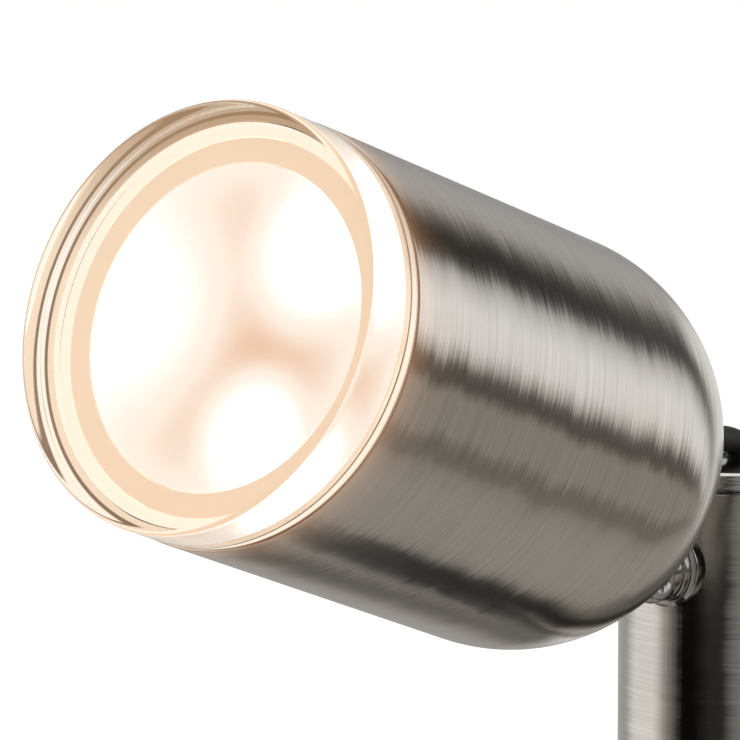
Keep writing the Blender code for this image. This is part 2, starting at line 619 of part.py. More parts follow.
def main():
    clear_scene()
    make_adapter()
    make_levers()
    pan = make_pivot("pan_axis", (0.0, 0.0, COVER_TOP))
    make_post(pan)
    tilt = make_pivot("tilt_axis", PIVOT, pan)
    make_head(tilt)
    make_lead(pan)


main()
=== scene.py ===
# %% [markdown]
# # A track spotlight, finished around its fixed frame
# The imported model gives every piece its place, its joints and its size. This script gives
# the pieces their finish: it remodels each one that shows with smooth turned and rounded
# shapes, keeps the hidden ones, and paints all of them with node materials. Everything is
# in metres and in the frame's own axes, so nothing has to be fitted afterwards.

# %% Load the frame
import json
import math

import bpy
import numpy as np
from mathutils import Matrix, Vector


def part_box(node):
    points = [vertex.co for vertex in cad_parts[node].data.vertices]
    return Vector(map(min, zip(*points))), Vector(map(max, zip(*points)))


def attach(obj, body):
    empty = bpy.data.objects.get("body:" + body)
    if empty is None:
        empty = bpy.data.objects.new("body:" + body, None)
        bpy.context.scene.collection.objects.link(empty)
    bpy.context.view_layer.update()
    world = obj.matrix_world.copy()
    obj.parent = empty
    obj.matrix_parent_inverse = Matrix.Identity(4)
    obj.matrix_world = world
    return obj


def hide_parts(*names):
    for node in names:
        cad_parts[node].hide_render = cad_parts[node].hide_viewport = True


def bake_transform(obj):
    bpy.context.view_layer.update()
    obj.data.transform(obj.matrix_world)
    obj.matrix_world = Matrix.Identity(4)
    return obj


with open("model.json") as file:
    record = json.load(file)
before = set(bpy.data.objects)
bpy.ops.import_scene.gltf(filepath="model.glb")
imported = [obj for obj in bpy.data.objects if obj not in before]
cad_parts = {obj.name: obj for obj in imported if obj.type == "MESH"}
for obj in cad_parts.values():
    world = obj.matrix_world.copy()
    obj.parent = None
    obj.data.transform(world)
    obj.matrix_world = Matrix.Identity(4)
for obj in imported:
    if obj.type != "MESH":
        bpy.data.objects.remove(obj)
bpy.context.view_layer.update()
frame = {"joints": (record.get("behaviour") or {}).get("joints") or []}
MM = 0.001

# %% [markdown]
# ## The places that everything is worked out from
# A spotlight head is a turned thing, so it is described along its own axis: s is the
# distance from the centre of the domed back towards the lens. The post is turned too, about
# the upright axis. One matrix for each gives every turned piece its place, and the same
# matrix lets a texture run round the piece instead of through it.

# %% Driving places
HEAD_TILT = math.radians(19.5)
HEAD_R = round(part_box("head_housing")[1][0], 4)
POST_R = round(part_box("post_tube")[1][0], 4)
POST_TOP = round(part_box("post_cap")[1][2], 4)
PIVOT = Vector(next(j for j in frame["joints"] if j["name"] == "head_tilt")["pos_m"])
DOME = Vector((0.0, -46.3 * MM, POST_TOP + 7.7 * MM))
HEAD_WALL = 1.5
RIM = 52.8
LENS_BACK = 51.5
LENS_FRONT = 60.7


def place_at(position, turn_x=0.0):
    """Matrix that puts a piece made about its own Z axis where it belongs."""
    return Matrix.Translation(position) @ Matrix.Rotation(turn_x, 4, "X")


ON_HEAD = place_at(DOME, math.pi / 2 - HEAD_TILT)
ON_POST = place_at((0.0, 0.0, POST_TOP))
KNUCKLE_RISE = math.atan2(DOME.z - PIVOT.z, PIVOT.y - DOME.y)
ON_ARM = place_at(PIVOT, math.pi / 2 - KNUCKLE_RISE)
ON_BACK = place_at(DOME, -math.pi / 2)
ON_NECK = place_at((0.0, 0.0, PIVOT.z), math.pi / 2)
ON_PIN = Matrix.Translation(PIVOT) @ Matrix.Rotation(math.pi / 2, 4, "Y")
REACH = (DOME - PIVOT).length / MM
print("head radius", HEAD_R, "post radius", POST_R, "pivot", tuple(PIVOT))

# %% [markdown]
# ## The camera
# A small lamp looks natural from a few hand's breadths away through a long lens. The camera
# stands in front and to the lamp's left, a little above it, and looks at a point just beside
# and below the middle of the lens, so that the head fills the view and runs out of it with
# the post.

# %% Camera
VIEW_AZIMUTH = math.radians(38.9)
VIEW_ELEVATION = math.radians(8.0)
VIEW_DISTANCE = 0.75
AIM_RIGHT = 0.0194
AIM_DOWN = 0.0060


def view_axes(azimuth, elevation):
    right = Vector((math.cos(azimuth), math.sin(azimuth), 0.0))
    toward = Vector((math.sin(azimuth) * math.cos(elevation),
                     -math.cos(azimuth) * math.cos(elevation), math.sin(elevation)))
    return right, toward.cross(right), toward


right, up, toward = view_axes(VIEW_AZIMUTH, VIEW_ELEVATION)
lens_centre = ON_HEAD @ Vector((0.0, 0.0, LENS_FRONT * MM))
camera_data = bpy.data.cameras.new("camera")
camera_data.lens = 330.0
camera_data.sensor_width = 36.0
camera_data.clip_start = 0.01
camera = bpy.data.objects.new("camera", camera_data)
bpy.context.scene.collection.objects.link(camera)
camera.matrix_world = Matrix.Translation(
    lens_centre + right * AIM_RIGHT - up * AIM_DOWN + toward * VIEW_DISTANCE
) @ Matrix((right, up, toward)).transposed().to_4x4()
bpy.context.scene.camera = camera
bpy.context.scene.view_settings.view_transform = "Standard"
print("camera at", tuple(round(c, 3) for c in camera.matrix_world.translation))

# %% [markdown]
# ## The studio
# Brushed metal shows nothing but the room around it: long soft boxes give the bright bands
# and the dark room between them gives the dark ones. The room here is the world. Its
# brightness changes round the head's axis like a ring of soft boxes and flags, with a second
# ring for the post. The floor and the view behind are plain white, as on a light table.

# %% Node helpers
def new_node(tree, kind, **settings):
    node = tree.nodes.new(kind)
    for key, value in settings.items():
        setattr(node, key, value)
    return node


def connect(socket, value):
    """Links an input when the value is another socket, otherwise sets it."""
    if isinstance(value, bpy.types.NodeSocket):
        socket.id_data.links.new(value, socket)
    else:
        socket.default_value = value


def feed(node, **values):
    """Links or sets a node's inputs by name."""
    for name, value in values.items():
        connect(node.inputs[name.replace("_", " ")], value)
    return node


def worked_out(kind, operation, values):
    """New node of a kind, on sockets and numbers, in the tree that the sockets are in."""
    tree = next(v.id_data for v in values if isinstance(v, bpy.types.NodeSocket))
    node = new_node(tree, kind, operation=operation)
    for socket, value in zip(node.inputs, values):
        connect(socket, value)
    return node.outputs


def maths(operation, *values):
    return worked_out("ShaderNodeMath", operation, values)[0]


def vector_maths(operation, *values):
    """Vector, or the one number that some operations give."""
    number = operation in ("DOT_PRODUCT", "DISTANCE", "LENGTH")
    return worked_out("ShaderNodeVectorMath", operation, values)["Value" if number else "Vector"]


def map_range(value, shape="LINEAR", **ends):
    """Output of one Map Range node; ends are From_Min, From_Max, To_Min and To_Max."""
    node = new_node(value.id_data, "ShaderNodeMapRange", interpolation_type=shape)
    return feed(node, Value=value, **ends).outputs[0]


def blend_colours(amount, first, second):
    """Mix of two colours, each a socket or a tuple."""
    node = new_node(amount.id_data, "ShaderNodeMix", data_type="RGBA")
    for index, value in ((0, amount), (6, first), (7, second)):
        connect(node.inputs[index], (*value, 1.0) if isinstance(value, tuple) else value)
    return node.outputs[2]


def ramp(value, stops):
    """Colour ramp from (position, colour) stops."""
    node = new_node(value.id_data, "ShaderNodeValToRGB")
    elements = node.color_ramp.elements
    while len(elements) < len(stops):
        elements.new(0.5)
    for element, (position, _) in zip(elements, stops):
        element.position = position
    for element, (_, colour) in zip(elements, stops):
        element.color = (*colour, 1.0)
    connect(node.inputs[0], value)
    return node.outputs[0]


def seen_straight(tree):
    """1 for what the eye sees directly or through something clear, otherwise 0."""
    light = new_node(tree, "ShaderNodeLightPath").outputs
    first = maths("LESS_THAN", light["Diffuse Depth"], 0.5)
    through = maths("MULTIPLY", light["Is Transmission Ray"], first)
    return maths("MAXIMUM", light["Is Camera Ray"], through)


def start_material(name, **values):
    """Principled material; named values such as Roughness go to the shader's inputs."""
    material = bpy.data.materials.new(name)
    material.use_nodes = True
    return material, feed(material.node_tree.nodes["Principled BSDF"], **values)


# %% World
HEAD_BANDS = (
    (-180, 0.48, 0.05), (-150, 0.42, 0.1), (-137, 0.44, 0.15), (-126, 0.19, 0.2),
    (-115, 0.11, 0.2), (-105, 0.27, 0.2), (-92, 0.35, 0.2), (-70, 0.37, 0.2), (-44, 0.38, 0.2),
    (-29, 0.33, 0.25), (-24, 0.20, 0.25), (-17, 0.20, 0.25), (-10, 0.33, 0.25), (9, 0.33, 0.25),
    (15, 0.10, 0.3), (23, 0.12, 0.3), (27, 0.50, 0.15), (35, 1.02, 0.06), (52, 1.10, 0.03),
    (62, 0.90, 0.03), (70, 0.62, 0.05), (75, 0.04, 0.2), (90, 0.01, 0.3), (99, 0.12, 0.2),
    (105, 0.34, 0.15), (112, 0.52, 0.1), (135, 0.48, 0.05), (150, 0.36, 0.03), (180, 0.48, 0.03),
)
POST_BANDS = (
    (-180, 0.92, 0.03), (-112, 1.02, 0.05), (-92, 1.0, 0.1), (-76, 0.30, 0.2), (-60, 0.0, 0.3),
    (-44, 0.005, 0.3), (-30, 0.03, 0.2), (-18, 0.03, 0.2), (-9, 0.20, 0.1), (8, 0.34, 0.1),
    (22, 0.12, 0.1), (34, 0.01, 0.1), (95, 0.02, 0.1), (112, 0.7, 0.05), (140, 0.95, 0.0),
    (180, 1.0, 0.03),
)
BACK_LIGHT = (0.95, 0.93, 0.90)
WHITE = (1.0, 1.0, 1.0, 1.0)
world = bpy.data.worlds.new("studio")
world.use_nodes = True
bpy.context.scene.world = world
tree = world.node_tree
tree.nodes.clear()
direction = new_node(tree, "ShaderNodeTexCoord").outputs["Generated"]


def along_axis(axis):
    """How far the looked-at direction points along an axis."""
    return vector_maths("DOT_PRODUCT", direction, axis)


def soft_box_ring(across, along, bands):
    """Brightness round an axis: bands are (degrees, brightness, warmth)."""
    angle = maths("ARCTAN2", along_axis(across), along_axis(along))
    turn = maths("MULTIPLY_ADD", angle, 0.5 / math.pi, 0.5)
    return ramp(turn, [
        ((degrees + 180.0) / 360.0,
         (brightness * (1 + 0.3 * warmth), brightness, brightness * (1 - 0.5 * warmth)))
        for degrees, brightness, warmth in bands])


def faded(axis, start, stop):
    """0 to 1 as the direction's share along an axis goes from start to stop."""
    return map_range(along_axis(axis), "SMOOTHSTEP", From_Min=start, From_Max=stop)


head_axis = (ON_HEAD.to_3x3() @ Vector((0.0, 0.0, 1.0))).normalized()
head_side = (toward - head_axis * toward.dot(head_axis)).normalized()
head_top = head_side.cross(head_axis)
if head_top.z < 0:
    head_top.negate()
flat_toward = Vector((toward.x, toward.y, 0.0)).normalized()
rings = blend_colours(faded(head_axis, -0.25, 0.15),
                      soft_box_ring(head_top, head_side, HEAD_BANDS),
                      soft_box_ring(right, flat_toward, POST_BANDS))
behind = maths("MULTIPLY", faded(head_axis, -0.82, -0.88), faded(head_side, 0.0, -0.15))
room = new_node(tree, "ShaderNodeBackground")
feed(room, Color=blend_colours(behind, rings, BACK_LIGHT))
plain = feed(new_node(tree, "ShaderNodeBackground"), Color=WHITE)
chosen = new_node(tree, "ShaderNodeMixShader")
for socket, value in zip(chosen.inputs, (seen_straight(tree), room.outputs[0], plain.outputs[0])):
    connect(socket, value)
feed(new_node(tree, "ShaderNodeOutputWorld"), Surface=chosen.outputs[0])
print("world: two rings of", len(HEAD_BANDS), "and", len(POST_BANDS), "bands")

# %% [markdown]
# The floor is a wide white sheet. It is bright enough to lose its own edge, and dark only
# where the adapter keeps the light off it. It stays out of the metal's reflections, because
# the soft boxes around the head already stand for what lies below.

# %% Floor and key light
FLOOR_R = 6.0
FLOOR_GLOW = 0.62
KEY_AT = Vector((0.5, -0.5, 1.6))
bpy.ops.object.select_all(action="DESELECT")
bpy.ops.mesh.primitive_circle_add(vertices=64, radius=FLOOR_R, fill_type="NGON",
                                  location=(0.0, 0.0, -0.0002))
floor = bpy.context.object
floor.name = "floor"
floor.visible_glossy = False
floor_paint, shader = start_material(
    "floor_paper", Base_Color=(0.85, 0.85, 0.85, 1.0), Roughness=0.9, Emission_Color=WHITE)
feed(shader, Emission_Strength=maths("MULTIPLY", seen_straight(shader.id_data), FLOOR_GLOW))
floor.data.materials.append(floor_paint)

key_data = bpy.data.lights.new("key", "AREA")
key_data.shape = "RECTANGLE"
key_data.size = 1.2
key_data.size_y = 0.8
key_data.energy = 9.0
key = bpy.data.objects.new("key", key_data)
key.visible_glossy = False
bpy.context.scene.collection.objects.link(key)
aimed = KEY_AT.to_track_quat("Z", "Y").to_matrix().to_4x4()
key.matrix_world = Matrix.Translation(KEY_AT) @ aimed
print("floor and key light set")

# %% [markdown]
# ## How the round pieces are made
# Nearly every piece here comes off a lathe: an outline is cut and turned about an axis. The
# same is done with the spin tool: one point is drawn along the outline by extruding it, and
# the line is spun once round. Corners get a small radius first, because a real edge is never
# sharp and it is the radius that catches the light. Each turned piece also gets a UV map
# that runs along its axis and round it, which tells the shader which way the brush went.

# %% Helpers for turned pieces
ON_AXIS = 0.01


def mode(name):
    bpy.ops.object.mode_set(mode=name)


def select_all():
    bpy.ops.mesh.select_all(action="SELECT")


def deselect():
    if bpy.context.object and bpy.context.object.mode != "OBJECT":
        mode("OBJECT")
    bpy.ops.object.select_all(action="DESELECT")


def take(obj):
    deselect()
    obj.select_set(True)
    bpy.context.view_layer.objects.active = obj


def smooth(obj, degrees=35.0):
    """Shades a piece smooth across the edges that turn less than an angle."""
    take(obj)
    bpy.ops.object.shade_smooth_by_angle(angle=math.radians(degrees))
    return obj


def rounded(outline, steps=5):
    """Outline of (r, z) or (r, z, radius) points with an arc at each corner that has one."""
    result = []
    for index, point in enumerate(outline):
        here = Vector(point[:2])
        if len(point) < 3:
            result.append(here)
            continue
        radius = point[2]
        before = (Vector(outline[index - 1][:2]) - here).normalized()
        after = (Vector(outline[(index + 1) % len(outline)][:2]) - here).normalized()
        half = before.angle(after) / 2
        reach = radius / math.tan(half)
        centre = here + (before + after).normalized() * radius / math.sin(half)
        start = here + before * reach - centre
        stop = here + after * reach - centre
        turn = start.angle_signed(stop)
        for k in range(steps + 1):
            result.append(centre + Matrix.Rotation(-turn * k / steps, 2) @ start)
    return [(max(0.0, p.x), p.y) for p in result]


def arc(centre_z, radius, start, stop, steps):
    """Points on an arc about a point of the axis; angles in degrees from +r towards +z."""
    angles = [math.radians(start + (stop - start) * k / steps) for k in range(steps + 1)]
    return [(max(0.0, radius * math.cos(a)), centre_z + radius * math.sin(a)) for a in angles]


def ring(inner, outer, low, high, edge):
    return rounded([(inner, low, edge), (outer, low, edge), (outer, high, edge),
                    (inner, high, edge)], steps=3)


def settle(obj, place=None, degrees=35.0):
    """Applies a piece's place, points its faces outwards and shades it."""
    take(obj)
    if place is not None:
        obj.matrix_world = place @ obj.matrix_world
    bpy.ops.object.transform_apply(location=True, rotation=True, scale=True)
    mode("EDIT")
    select_all()
    bpy.ops.mesh.normals_make_consistent(inside=False)
    return smooth(obj, degrees)


def brush_map(obj):
    """UV map of a piece made about Z: u runs along the axis, v once round it."""
    mesh = obj.data
    layer = mesh.uv_layers.new(name="brush")
    points = np.empty(len(mesh.vertices) * 3)
    mesh.vertices.foreach_get("co", points)
    points = points.reshape(-1, 3)
    round_it = np.arctan2(points[:, 1], points[:, 0]) / (2 * math.pi)
    along = points[:, 2] + np.hypot(points[:, 0], points[:, 1])
    uv = np.zeros((len(mesh.loops), 2))
    for face in mesh.polygons:
        loops = list(face.loop_indices)
        ids = [mesh.loops[i].vertex_index for i in loops]
        v = round_it[ids]
        if v.max() - v.min() > 0.5:
            v = np.where(v < 0, v + 1, v)
        uv[loops, 0] = along[ids] * 10
        uv[loops, 1] = v
    layer.data.foreach_set("uv", uv.ravel())


def turned(name, outline, place, sides):
    """Spins an outline (millimetres, about its own Z) into one solid. An outline that doesn't
    start on the axis is closed on itself and makes a ring."""
    deselect()
    bpy.ops.mesh.primitive_plane_add(size=0.001)
    obj = bpy.context.object
    obj.name = obj.data.name = name
    mode("EDIT")
    bpy.ops.mesh.select_mode(type="VERT")
    select_all()
    bpy.ops.mesh.merge(type="CENTER")
    select_all()
    last = first = outline[0]
    bpy.ops.transform.translate(value=(first[0] * MM, 0.0, first[1] * MM))
    for point in list(outline[1:]) + ([first] if first[0] > ON_AXIS else []):
        step = ((point[0] - last[0]) * MM, 0.0, (point[1] - last[1]) * MM)
        bpy.ops.mesh.extrude_region_move(TRANSFORM_OT_translate={"value": step})
        last = point
    select_all()
    bpy.ops.mesh.spin(steps=sides, angle=2 * math.pi, center=(0, 0, 0), axis=(0, 0, 1))
    select_all()
    bpy.ops.mesh.remove_doubles(threshold=0.000002)
    mode("OBJECT")
    brush_map(obj)
    return settle(obj, place)


def rod(name, radius, low, high, place, sides):
    """Plain bar between two heights on its own axis."""
    return turned(name, [(0.0, low), (radius, low), (radius, high), (0.0, high)], place, sides)


# %% Helpers for cuts and blocks
def applied(obj, kind, **settings):
    """Adds a modifier to a piece and applies it at once."""
    take(obj)
    modifier = obj.modifiers.new("shape", kind)
    for key, value in settings.items():
        setattr(modifier, key, value)
    bpy.ops.object.modifier_apply(modifier=modifier.name)
    return obj


def cut(obj, tool, operation="DIFFERENCE"):
    """Boolean with a second piece; the tool is used up."""
    applied(obj, "BOOLEAN", operation=operation, solver="EXACT", object=tool)
    bpy.data.objects.remove(tool, do_unlink=True)
    return obj


def drill(obj, radius, low, high, place, sides):
    return cut(obj, rod("drill", radius, low, high, place, sides))


def box(name, low, high, place=None, edge=0.0, upright=0.0):
    """Cube between two corners (millimetres); edge rounds all edges, upright the Z ones."""
    deselect()
    bpy.ops.mesh.primitive_cube_add(size=1.0)
    obj = bpy.context.object
    obj.name = obj.data.name = name
    obj.dimensions = (Vector(high) - Vector(low)) * MM
    obj.location = (Vector(high) + Vector(low)) / 2 * MM
    bpy.ops.object.transform_apply(location=True, rotation=True, scale=True)
    if upright > 0.0:
        mode("EDIT")
        bpy.ops.mesh.select_mode(type="EDGE")
        bpy.ops.mesh.select_all(action="DESELECT")
        mode("OBJECT")
        points = obj.data.vertices
        for element in obj.data.edges:
            along = points[element.vertices[0]].co - points[element.vertices[1]].co
            element.select = abs(along.normalized().z) > 0.9
        mode("EDIT")
        bpy.ops.mesh.bevel(offset=upright * MM, segments=6, affect="EDGES")
        mode("OBJECT")
    if edge > 0.0:
        applied(obj, "BEVEL", width=edge * MM, segments=3, limit_method="ANGLE",
                angle_limit=math.radians(40.0))
    return settle(obj, place)


def even_shading(obj):
    """Keeps the large flat faces of a rounded block flat, and its small radii smooth."""
    return applied(smooth(obj, 40.0), "WEIGHTED_NORMAL", keep_sharp=True)


def paint(obj, material):
    obj.data.materials.clear()
    obj.data.materials.append(material)


def belongs(obj, material, body, slot, *nodes):
    """Gives a piece its finish and its body, and hides the frame nodes it stands for. The slot is
    not used.
    """
    paint(obj, material)
    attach(obj, body)
    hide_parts(*nodes)


print("helpers ready")

# %% [markdown]
# ## Effects that several finishes share
# A brush leaves thousands of fine scratches that run round the tube. Seen close up they are
# streaks: thin along the axis, long round it. The group makes them from noise squeezed along
# the axis, and gives a value for colour and gloss, and a height for the bump. A second group
# gives the soft, uneven film of handling and dust that keeps any surface from being even,
# and a third the fine grain of moulded plastic.

# %% Shared node groups
VALUE = "NodeSocketFloat"
VECTOR = "NodeSocketVector"


def make_group(name, inputs, outputs):
    """Node group with (label, kind, value) inputs and float outputs."""
    group = bpy.data.node_groups.new(name, "ShaderNodeTree")
    for label, kind, value in inputs:
        socket = group.interface.new_socket(label, in_out="INPUT", socket_type=kind)
        if value is not None:
            socket.default_value = value
    for label in outputs:
        group.interface.new_socket(label, in_out="OUTPUT", socket_type=VALUE)
    return group, group.nodes.new("NodeGroupInput").outputs, group.nodes.new("NodeGroupOutput")


def noise(vector, scale=1.0, detail=2.0):
    node = new_node(vector.id_data, "ShaderNodeTexNoise")
    return feed(node, Vector=vector, Scale=scale, Detail=detail).outputs["Fac"]


def stretch(vector, across, along):
    """Scales a vector: across for x and y, along for z."""
    spread = new_node(vector.id_data, "ShaderNodeCombineXYZ")
    feed(spread, X=across, Y=across, Z=along)
    return vector_maths("MULTIPLY", vector, spread.outputs[0])


brush_lines, into, out = make_group(
    "brush_lines",
    [("Vector", VECTOR, None), ("Lines per metre", VALUE, 9000.0), ("Streak", VALUE, 70.0)],
    ["Lines", "Height", "Patches"])
vector, per_metre, streak = into["Vector"], into["Lines per metre"], into["Streak"]
fine = noise(stretch(vector, streak, per_metre), detail=1.0)
fewer_lines = maths("MULTIPLY", per_metre, 0.35)
short_streak = maths("MULTIPLY", streak, 2.0)
broad = noise(stretch(vector, short_streak, fewer_lines))
patch = noise(stretch(vector, 45.0, 260.0), detail=3.0)
lines = maths("MULTIPLY_ADD", broad, 0.6, maths("MULTIPLY", fine, 0.4))
feed(out, Lines=lines, Patches=patch, Height=maths("MULTIPLY_ADD", patch, 0.25, lines))

film, into, out = make_group(
    "handling_film", [("Vector", VECTOR, None), ("Scale", VALUE, 60.0)], ["Film", "Specks"])
specks = noise(into["Vector"], maths("MULTIPLY", into["Scale"], 40.0), 1.0)
feed(out, Film=noise(into["Vector"], into["Scale"], 4.0),
     Specks=maths("GREATER_THAN", specks, 0.74))

grain, into, out = make_group(
    "moulded_grain", [("Vector", VECTOR, None), ("Scale", VALUE, 2600.0)], ["Grain", "Flow"])
feed(out, Grain=noise(into["Vector"], into["Scale"]),
     Flow=noise(stretch(into["Vector"], 60.0, 25.0), detail=3.0))
print("node groups:", [g.name for g in (brush_lines, film, grain)])


# %% Helpers for materials
def own_position(shader, place=None):
    """Object coordinates, turned into a piece's own axes when its place is given."""
    tree = shader.id_data
    coordinates = new_node(tree, "ShaderNodeTexCoord").outputs["Object"]
    if place is None:
        return coordinates
    mapping = new_node(tree, "ShaderNodeMapping", vector_type="TEXTURE")
    return feed(mapping, Vector=coordinates, Location=place.translation,
                Rotation=place.to_euler()).outputs[0]


def use_group(group, position, **values):
    """Outputs of a shared group at a position."""
    node = new_node(position.id_data, "ShaderNodeGroup", node_tree=group)
    return feed(node, Vector=position, **values).outputs


def spread_to(value, low, high):
    return map_range(value, To_Min=low, To_Max=high)


def dimmed(colour, share):
    return tuple(share * c for c in colour)


def flattened(position):
    """Position with its share along the axis taken out."""
    return vector_maths("MULTIPLY", position, (1.0, 1.0, 0.0))


def separate(position):
    return feed(new_node(position.id_data, "ShaderNodeSeparateXYZ"), Vector=position).outputs


def bump(shader, height, distance, strength, **base):
    """Ripples the surface, over a Normal of its own when one is given."""
    node = new_node(shader.id_data, "ShaderNodeBump")
    feed(node, Height=height, Distance=distance, Strength=strength, **base)
    feed(shader, Normal=node.outputs[0])


# %% [markdown]
# ## Brushed satin nickel
# The head and the post are tubes brushed on the lathe and plated. Light bounces off the
# brush lines sideways, so a highlight is drawn out along the axis and stays narrow round it.
# That is what the shader's anisotropy does, with the tangent taken along the brush map's
# first direction. The streaks vary the gloss and the colour a little and ripple the surface,
# and each one leans a little to its own side, which frays the edges of the bright bands. The
# last millimetres of the head beside the lens get a painted warm glow: an emission that
# stands in for the lamp's light spilling onto the metal.

# %% Brushed nickel
NICKEL = (0.68, 0.655, 0.63)
LINES_PER_METRE = 8200.0
PAINTED_GLOW_REACH = 2.6 * MM
FINE_BUMP = 0.00001


def tilted_normal(tangent, amount):
    """The surface's normal, leaned sideways from the tangent by a small amount."""
    plain = new_node(tangent.id_data, "ShaderNodeNewGeometry").outputs["Normal"]
    sideways = vector_maths("CROSS_PRODUCT", tangent, plain)
    lean = vector_maths("MULTIPLY", sideways, amount)
    return vector_maths("NORMALIZE", vector_maths("ADD", plain, lean))


def brushed_nickel(name, place, streak, ragged):
    material, shader = start_material(name, Metallic=1.0, Anisotropic=0.85)
    position = own_position(shader, place)
    brush = use_group(brush_lines, position, Lines_per_metre=LINES_PER_METRE, Streak=streak)
    touched = use_group(film, position, Scale=45.0)
    worn = blend_colours(spread_to(brush["Lines"], -0.75, 1.75), dimmed(NICKEL, 0.72), NICKEL)
    warm = tuple(c * w for c, w in zip(NICKEL, (0.96, 0.93, 0.89)))
    along = new_node(shader.id_data, "ShaderNodeTangent", direction_type="UV_MAP", uv_map="brush")
    feed(shader, Tangent=along.outputs[0],
         Base_Color=blend_colours(spread_to(touched["Film"], -0.3, 0.8), worn, warm),
         Roughness=spread_to(brush["Lines"], 0.22, 0.12))
    lean = maths("MULTIPLY_ADD", brush["Lines"], ragged, -0.5 * ragged)
    slow = maths("MULTIPLY_ADD", brush["Patches"], 0.12, -0.06)
    leaning = tilted_normal(along.outputs[0], maths("ADD", lean, slow))
    bump(shader, brush["Height"], 0.000012, 0.5, Normal=leaning)
    return material, shader


nickel_post = brushed_nickel("nickel_post", ON_POST, 40.0, 0.08)[0]
nickel_head, shader = brushed_nickel("nickel_head", ON_HEAD, 26.0, 0.14)
# Painted glow: a warm emission on the head's metal that fades within a few millimetres of the rim,
# in place of the lamp's light spilling onto it.
to_rim = maths("SUBTRACT", RIM * MM, separate(own_position(shader, ON_HEAD))["Z"])
short = maths("ABSOLUTE", maths("DIVIDE", to_rim, PAINTED_GLOW_REACH))
painted_glow = maths("EXPONENT", maths("MULTIPLY", short, -1.0))
feed(shader, Emission_Color=(1.0, 0.50, 0.24, 1.0),
     Emission_Strength=maths("MULTIPLY", painted_glow, 0.20))
print("brushed nickel for the head and the post")

# %% [markdown]
# ## The head's housing
# The housing is one deep-drawn shell: a straight tube closed by half a ball. Its outline
# runs from the back pole round the ball, up the tube and over the rim, then down inside a
# wall's thickness away. Two holes go through the ball: one for the lead and one for the stud
# that carries the head.

# %% Head housing
head_r = HEAD_R / MM
inner_r = head_r - HEAD_WALL
stud_end = REACH - head_r
shell = arc(0, head_r, -90, 0, 40)
shell += rounded([(head_r, 0), (head_r, RIM, 0.35), (inner_r, RIM, 0.35), (inner_r, 0)])[1:]
shell += arc(0, inner_r, 0, -90, 24)[1:]
housing = turned("housing", shell, ON_HEAD, 160)
drill(housing, 3.1, 20, 28, ON_BACK, 40)
drill(housing, 2.3, stud_end - 2, stud_end + 4, ON_ARM, 40)
belongs(smooth(housing), nickel_head, "head", "nickel", "head_housing")
print("housing:", len(housing.data.polygons), "faces")

# %% [markdown]
# ## The lens
# The lens is a thick disc of clear acrylic, as wide as the head and polished on its faces
# and its wall. A step at the back drops into the housing. What makes it look thick is that
# light from the ring behind it bounces off the inside of the polished wall, so it has to be
# one solid piece with a true thickness and small polished radii at its edges.

# %% Clear lens
acrylic, shader = start_material("clear_acrylic", IOR=1.49, Transmission_Weight=1)
dust = use_group(film, own_position(shader, ON_HEAD), Scale=80)["Film"]
feed(shader, Roughness=spread_to(dust, 0, 0.03),
     Base_Color=blend_colours(dust, (0.99, 0.985, 0.975), (0.975, 0.97, 0.955)))

spigot_r = inner_r - 0.5
lens_r = head_r - 0.1
STEP_UP = RIM + 0.8
lens = turned("clear_lens", rounded([
    (0, LENS_BACK), (spigot_r, LENS_BACK, 0.25), (spigot_r, STEP_UP, 0.1),
    (lens_r, STEP_UP, 0.35), (lens_r, LENS_FRONT, 0.7), (0, LENS_FRONT)], steps=6), ON_HEAD, 192)
belongs(lens, acrylic, "head", "lens_glass", "lens")
print("lens:", len(lens.data.polygons), "faces")

# %% [markdown]
# ## Behind the lens
# A dark rubber line seals the lens to the rim. Inside it sits a cream bezel, then a narrow
# beige ring that clamps the frosted disc. The disc is lit from behind by three chips in
# three cups, which show through it as three soft bright spots with a warmer middle. The cups
# throw their light a little off their own centres, one wider than the others. Each spot is a
# soft round falloff, and the sum of the three sets the glow's colour, from peach between the
# chips to almost white over them.

# %% Glow
DISC_R = 18.6
# Each spot's place and spread in millimetres, then its strength.
SPOTS = ((-13.2, 0.9, 10, 1), (11, 9.6, 6.05, 2), (7.3, -11.8, 4.6, 2.5))
GLOW = ((0, (0.72, 0.42, 0.26)), (0.085, (0.81, 0.53, 0.37)), (0.14, (0.88, 0.67, 0.53)),
        (0.22, (0.94, 0.80, 0.68)), (0.40, (0.99, 0.89, 0.80)), (0.58, (1.12, 1.03, 0.94)),
        (1, (2.2, 2.1, 1.9)))

glow, into, out = make_group("three_spots", [("Vector", VECTOR, None)], ["Light"])
flat = flattened(into["Vector"])
total = 0
for x, y, spread, strength in SPOTS:
    gap = vector_maths("DISTANCE", flat, (x * MM, y * MM, 0))
    square = maths("POWER", maths("DIVIDE", gap, spread * MM), 2)
    fall = maths("EXPONENT", maths("MULTIPLY", square, -1))
    total = maths("MULTIPLY_ADD", fall, strength, total)
feed(out, Light=total)

frosted, shader = start_material(
    "frosted_glow", Roughness=0.55, Emission_Strength=1, Specular_IOR_Level=0.3)
position = own_position(shader, ON_HEAD)
haze = use_group(film, position, Scale=220)["Film"]
spots = use_group(glow, position)["Light"]
radius = vector_maths("LENGTH", flattened(position))
outer = maths("POWER", maths("DIVIDE", radius, DISC_R * MM), 4)
light = maths("MULTIPLY_ADD", outer, 0.26, maths("MULTIPLY_ADD", haze, 0.02, spots))
feed(shader, Emission_Color=ramp(light, GLOW),
     Base_Color=blend_colours(haze, (0.15, 0.13, 0.11), (0.18, 0.16, 0.14)))
print("glow: three spots, and", len(GLOW), "colours")


